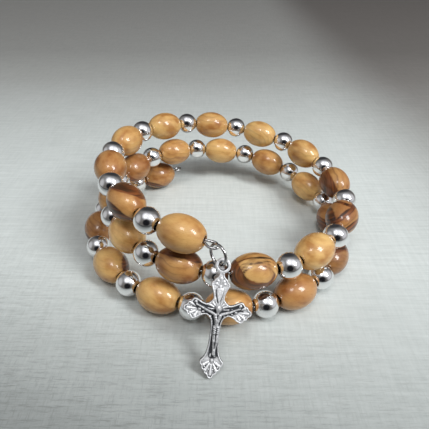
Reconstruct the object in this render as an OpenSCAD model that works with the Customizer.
// Wrap bracelet: oval wooden beads and small round metal beads strung in turn
// on a coiled spring wire, with a cast crucifix on a jump ring at the free end.
// Millimetres. X to the right, Y to the back, Z up, resting on the plane Z = 0.
// Bead 0 is the first one at the free upper end; turn angles count from it.

/* [Beads] */
// Number of wooden beads; one small bead sits between each two of them
wood_count = 29; // [24:1:29]
// Length of a wooden bead along its hole
wood_l = 10; // [9.4:0.1:10]
// Greatest diameter of a wooden bead
wood_d = 8; // [7.4:0.1:8]
// Hole through a wooden bead
wood_bore = 2.2; // [2.1:0.1:2.6]
// Diameter of a small round bead
spacer_d = 6; // [5.4:0.1:6]
// Hole through a small round bead
spacer_bore = 2; // [1.9:0.1:2.2]
// Distance along the wire from one bead's middle to the next
bead_pitch = 8.1; // [8.1:0.02:8.16]
// How far a bead hangs off the wire's middle, within its hole
bead_play = 0.3; // [0.2:0.05:0.35]

/* [Wire] */
// Thickness of the spring wire
wire_d = 0.6; // [0.5:0.05:0.65]
// Length of the turned loop at each end, on the wire's middle
loop_l = 2.6; // [2.5:0.1:2.8]
// Width of the turned loop, on the wire's middle
loop_w = 1.6; // [1.5:0.1:1.8]
// Tilt of the upper loop about the wire's own direction
loop_tilt = 10; // [0:1:15]

/* [Jump ring] */
// Outer diameter of the jump ring
ring_d = 5; // [4.9:0.1:5.1]
// Thickness of the jump ring's wire
ring_wire = 0.6; // [0.5:0.05:0.65]

/* [Crucifix] */
// Thickness of the cast plate up to its sunk panel
plate_t = 0.7; // [0.6:0.05:0.9]
// Height of the raised rim above the sunk panel
rim_h = 0.3; // [0.2:0.05:0.4]
// Width of the raised rim
rim_w = 0.28; // [0.24:0.02:0.34]
// Outer diameter of the hanging eye
eye_d = 3.1; // [3:0.1:3.2]
// Hole in the hanging eye
eye_bore = 1.6; // [1.5:0.05:1.7]
// How far the cross leans up from the surface, degrees
lean = 51; // [50:1:52]

/* [Hidden] */
$fn = 64;

// Middle of the coil, set so that the whole piece is centred on the origin.
coil_x = 1.21;
coil_y = 6.72;
// Direction of bead 0 from the coil's middle, degrees.
first_dir = -108;

// The wire's course as turned on the wrist former, one row each row_step degrees.
row_step = 60;
row_first = -60;
// Columns: radius from the coil's middle, height above the surface
course = [
    [33.0, 16.5],
    [30.0, 20.5],
    [29.0, 22.0],
    [30.5, 20.5],
    [31.5, 16.0],
    [32.0, 12.0],
    [31.0, 11.5],
    [30.5, 12.0],
    [29.5, 13.0],
    [28.0, 12.5],
    [29.0,  8.5],
    [30.0,  4.5],
    [32.5,  4.0],
    [33.5,  4.0],
    [34.5,  4.0],
    [30.5,  4.0],
    [24.0,  4.0],
];

// Smooth curve through four rows, t running from 0 at b to 1 at c.
function blend(a, b, c, d, t) =
    (2 * b + (c - a) * t + (2 * a - 5 * b + 4 * c - d) * t * t
    + (3 * b - a - 3 * c + d) * t * t * t) / 2;

// Radius and height of the wire at a turn angle.
function course_at(turn) =
    let (u = (turn - row_first) / row_step)
    let (i = min(max(floor(u), 1), len(course) - 3))
    blend(course[i - 1], course[i], course[i + 1], course[i + 2], u - i);

// Point on the wire's middle; the lowest turn lies flat on its beads.
function way(turn) =
    let (c = course_at(turn))
    let (dir = first_dir - turn)
    [coil_x + c[0] * cos(dir), coil_y + c[0] * sin(dir), max(c[1], wood_d / 2)];

function unit(v) = v / norm(v);
function along(turn) = unit(way(turn + 1) - way(turn - 1));

// Length of wire run out at each turn angle, as pairs for lookup.
run_step = 2;
run_end = 900;
run_out = [
    for (turn = 0, s = 0; turn <= run_end;
        s = s + norm(way(turn + run_step) - way(turn)), turn = turn + run_step)
        [s, turn]
];

// Turn angle of bead k, and the last bead's number.
function bead_turn(k) = lookup(k * bead_pitch, run_out);
last_bead = 2 * wood_count - 2;

// Set a bead that is drawn along Z on the wire, moved level across it by aside.
module on_wire(k, aside) {
    turn = bead_turn(k);
    t = along(turn);
    across = unit([-t[1], t[0], 0]);
    translate(way(turn) + across * aside)
        rotate([0, acos(t[2]), atan2(t[1], t[0])])
        children();
}

function bead_name(i) = str("wood_bead_", i < 10 ? "0" : "", i);

// Wooden bead: an oval cut off flat at both ends, drilled through; the whole
// oval is oval_over times as long as the bead.
oval_over = 1.08;
oval_half = oval_over * wood_l / 2;
bead_bands = 20;
bead_cut = asin(wood_l / 2 / oval_half);
bead_outline = concat(
    [[wood_bore / 2, -wood_l / 2]],
    [for (i = [0 : bead_bands])
        let (u = -bead_cut + 2 * bead_cut * i / bead_bands)
        [wood_d / 2 * cos(u), oval_half * sin(u)]],
    [[wood_bore / 2, wood_l / 2]]
);

module wood_bead(i) {
    color("#b0692c")
    on_wire(2 * i - 2, -bead_play)
        rotate_extrude()
            polygon(bead_outline);
}

module spacer_beads() {
    color("#c9cbd0")
    for (k = [1 : 2 : last_bead - 1])
        on_wire(k, bead_play)
            difference() {
                sphere(d = spacer_d);
                cylinder(d = spacer_bore, h = 2 * spacer_d, center = true);
            }
}

// Turned loop: straight out of the end bead's hole, then points on an oval from
// near the bead, round and almost back.
loop_from = 215;
loop_to = 500;
loop_steps = 15;
// How far the loop's near edge stands off the end bead.
loop_gap = 0.5;
loop_mid = wood_l / 2 + loop_gap + loop_l / 2;
// Columns: distance from the end bead's middle, sideways
loop_lead = [
    [wood_l / 4, 0],
    [wood_l / 2 - 0.6, 0],
    [wood_l / 2 + 0.1, -0.08],
];
loop_line = concat(
    loop_lead,
    [for (i = [0 : loop_steps])
        let (u = loop_from + (loop_to - loop_from) * i / loop_steps)
        [loop_mid + loop_l / 2 * cos(u), loop_w / 2 * sin(u)]]
);

// The loop's line set at a wire end that leaves from a point in a direction.
function loop_points(from, dir, tilt) =
    let (level = unit(cross([0, 0, 1], dir)))
    let (side = level * cos(tilt) + cross(dir, level) * sin(tilt))
    [for (p = loop_line) from + dir * p[0] + side * p[1]];

function reversed(list) = [for (i = [len(list) - 1 : -1 : 0]) list[i]];

wire_step = 6;
last_turn = bead_turn(last_bead);
wire_steps = ceil(last_turn / wire_step);
wire_line = concat(
    reversed(loop_points(way(0), -along(0), loop_tilt)),
    [for (i = [0 : wire_steps]) way(last_turn * i / wire_steps)],
    loop_points(way(last_turn), along(last_turn), 0)
);

// Sweep a round wire along a line of points that nowhere runs upright.
wire_sides = 6;
module swept_wire(line, d) {
    n = len(line);
    points = [
        for (i = [0 : n - 1])
            let (t = unit(line[min(i + 1, n - 1)] - line[max(i - 1, 0)]))
            let (level = unit(cross([0, 0, 1], t)))
            let (rise = cross(t, level))
            for (j = [0 : wire_sides - 1])
                let (u = 360 * j / wire_sides)
                line[i] + d / 2 * (level * cos(u) + rise * sin(u))
    ];
    walls = [
        for (i = [0 : n - 2])
            for (j = [0 : wire_sides - 1])
                let (a = i * wire_sides + j)
                let (b = i * wire_sides + (j + 1) % wire_sides)
                [b, a, a + wire_sides, b + wire_sides]
    ];
    near = [for (j = [0 : wire_sides - 1]) j];
    far = [for (j = [wire_sides - 1 : -1 : 0]) (n - 1) * wire_sides + j];
    polyhedron(points, concat(walls, [near, far]));
}

module memory_wire() {
    color("#a9adb3")
    swept_wire(wire_line, wire_d);
}

// Jump ring: its middle and the direction of its axis.
ring_at = [-0.58, -25.84, 18.72];
ring_axis = unit([0.75, 0.65, -0.12]);

module jump_ring() {
    color("#bfc2c7")
    translate(ring_at)
        rotate([0, acos(ring_axis[2]), atan2(ring_axis[1], ring_axis[0])])
        rotate_extrude()
            translate([(ring_d - ring_wire) / 2, 0])
                circle(d = ring_wire, $fn = 24);
}

// Crucifix, drawn flat: X along the arms, Y up the shaft, Z out of its face.
cross_at = [-0.67, -32.38, 9.97];
cross_yaw = 5;
cross_roll = -10;
eye_y = 8.85;
eye_z = 0.5;

// Right half of the plate's outline from the neck round to the foot: x, y
half_outline = [
    [0.00, 7.60],
    [0.50, 7.60],
    [0.55, 6.90],
    [0.90, 6.40],
    [1.25, 6.20],
    [1.45, 5.75],
    [1.85, 5.45],
    [1.90, 4.95],
    [1.60, 4.30],
    [1.20, 3.30],
    [1.05, 2.25],
    [2.10, 1.25],
    [3.00, 1.45],
    [3.80, 1.90],
    [4.55, 2.20],
    [5.05, 1.95],
    [5.25, 1.50],
    [5.85, 1.35],
    [6.10, 0.80],
    [6.60, 0.60],
    [6.75, 0.05],
    [6.55, -0.45],
    [6.05, -0.65],
    [5.85, -1.20],
    [5.30, -1.35],
    [5.10, -1.80],
    [4.65, -2.00],
    [3.80, -1.60],
    [3.00, -1.05],
    [2.10, -0.80],
    [1.25, -1.55],
    [1.00, -2.50],
    [0.95, -4.50],
    [1.00, -6.50],
    [1.25, -8.00],
    [1.70, -9.00],
    [2.30, -9.60],
    [2.30, -10.20],
    [1.90, -10.60],
    [1.85, -11.20],
    [1.35, -11.45],
    [1.20, -12.00],
    [0.70, -12.20],
    [0.50, -12.75],
    [0.00, -13.00],
];

module plate_outline() {
    polygon(half_outline);
    mirror([1, 0])
        polygon(half_outline);
}

// Rounded hull round a few balls; each ball is x, y, z and radius.
module cast(balls, sides = 8) {
    hull()
        for (b = balls)
            translate([b[0], b[1], b[2]])
                sphere(b[3], $fn = sides);
}

// Raised ribs that fan out over a flared end, drawn for the right arm.
// Columns: direction, distance of the near ball, distance of the far ball
fan_ribs = [
    [58, 0.62, 1.55],
    [29, 0.75, 1.95],
    [0, 0.85, 2.35],
    [-29, 0.75, 1.95],
    [-58, 0.62, 1.55],
];
// Radius of a rib's near ball and of its far ball
rib_near = 0.13;
rib_far = 0.34;
module fan(reach) {
    for (rib = fan_ribs)
        rotate(rib[0])
            cast([[rib[1] * reach, 0, plate_t, rib_near], [rib[2] * reach, 0, plate_t, rib_far]]);
}

// One fan on each end of the cross. Columns: x, y, direction, reach
fans = [
    [-3.55, 0.1, 180, 1],
    [3.55, 0.1, 0, 1],
    [0, 4.75, 90, 0.62],
    [0, -9.4, -90, 1.12],
];
module shell_ends() {
    for (f = fans)
        translate([f[0], f[1], 0])
            rotate(f[2])
            fan(f[3]);
}

// Bare title plaque, shield shaped, standing proud of the rim.
plaque_h = 0.15;
plaque = [
    [0, 4.65],
    [0.5, 4.5],
    [0.72, 4.1],
    [0.6, 3.1],
    [0.35, 2.2],
    [0, 1.5],
    [-0.35, 2.2],
    [-0.6, 3.1],
    [-0.72, 4.1],
    [-0.5, 4.5],
];

// Figure's parts, each a hull of balls: x, y, z, radius
figure_parts = [
    // Head on its neck, leaning forward
    [[0.12, 0, 1, 0.38], [0.08, 0.82, 1.18, 0.57]],
    // Chest and waist
    [[-0.5, -0.57, 1.1, 0.42], [0.58, -0.73, 1.04, 0.43], [-0.14, -2.37, 0.98, 0.36],
        [0.36, -2.43, 1.02, 0.38]],
    // Hips in the cloth
    [[-0.25, -2.96, 0.98, 0.44], [0.39, -3.07, 0.97, 0.46], [-0.14, -4.15, 1.04, 0.41],
        [0.52, -4.18, 0.98, 0.39]],
    // Legs
    [[-0.21, -3.98, 0.92, 0.36], [-0.11, -5.7, 0.97, 0.38], [0.03, -7.52, 0.82, 0.25]],
    [[0.43, -4.16, 0.93, 0.34], [0.45, -5.82, 1.05, 0.35], [0.27, -7.59, 0.86, 0.22]],
    // Metal between the legs
    [[0.17, -4.04, 0.79, 0.29], [0.17, -5.88, 0.8, 0.29], [0.18, -7.32, 0.75, 0.24]],
    // Feet, one on the other
    [[0.16, -7.35, 0.92, 0.41], [0.14, -8.13, 0.87, 0.42]],
    // Left upper arm, forearm with its hand
    [[-0.76, -0.45, 0.96, 0.31], [-2.34, 0.1, 0.87, 0.26]],
    [[-2.31, 0.21, 0.88, 0.28], [-4.16, 0.88, 0.84, 0.27]],
    // Right upper arm, forearm with its hand
    [[0.79, -0.48, 0.98, 0.3], [2.52, 0.02, 0.91, 0.28]],
    [[2.37, 0.09, 0.87, 0.26], [4.28, 0.83, 0.88, 0.3]],
];

module figure() {
    for (part = figure_parts)
        cast(part, 10);
}

module crucifix() {
    color("#b4b6ba")
    translate(cross_at)
    rotate([0, 0, cross_yaw])
    rotate([lean, 0, 0])
    rotate([0, 0, cross_roll])
    union() {
        linear_extrude(plate_t)
            plate_outline();
        linear_extrude(plate_t + rim_h)
            difference() {
                plate_outline();
                offset(delta = -rim_w)
                    plate_outline();
            }
        linear_extrude(plate_t + rim_h + plaque_h)
            polygon(plaque);
        shell_ends();
        figure();
        translate([0, eye_y, eye_z])
            rotate_extrude($fn = 24)
                translate([(eye_d + eye_bore) / 4, 0])
                    circle(d = (eye_d - eye_bore) / 2, $fn = 10);
    }
}

crucifix();
jump_ring();
memory_wire();
spacer_beads();
for (i = [1 : wood_count])
    wood_bead(i);
